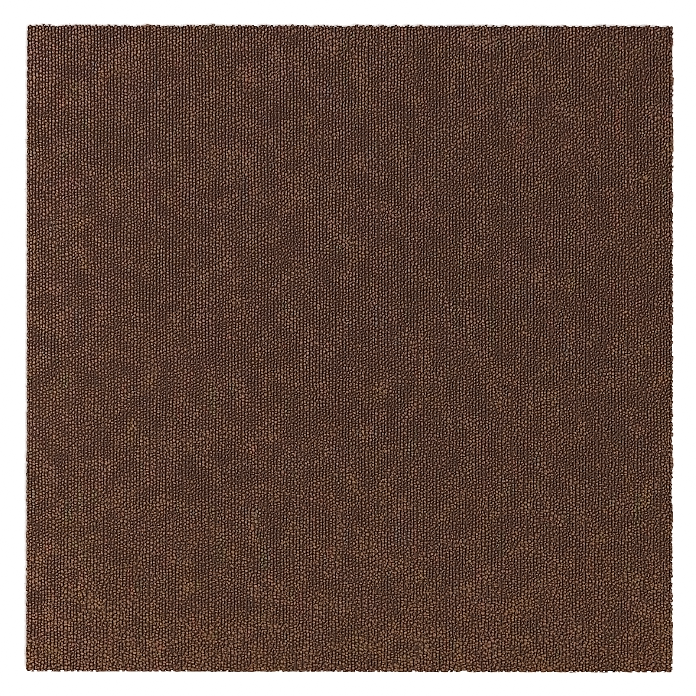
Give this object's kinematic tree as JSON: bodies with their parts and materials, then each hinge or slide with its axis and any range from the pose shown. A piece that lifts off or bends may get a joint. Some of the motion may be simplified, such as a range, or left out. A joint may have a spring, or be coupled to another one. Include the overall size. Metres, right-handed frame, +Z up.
{
  "type": "carpet tile",
  "caption": "Square loop-pile carpet tile: straight rows of low uncut loops tufted through a cloth, on a heavy flat backing.",
  "frame": {"origin": "centre of the flat underside, on the floor", "axes": "+Z up through the pile, +Y along the tuft rows, +X across them"},
  "size_m": [0.5, 0.5, 0.006],
  "materials": {
    "pile_yarn": "looped heather yarn, matte",
    "primary_cloth": "thin tape-yarn cloth, matte",
    "backing_compound": "cast bitumen compound, matte"
  },
  "bodies": {
    "root": {"loop_pile": "pile_yarn", "primary_backing": "primary_cloth", "backing": "backing_compound"}
  },
  "joints": []
}
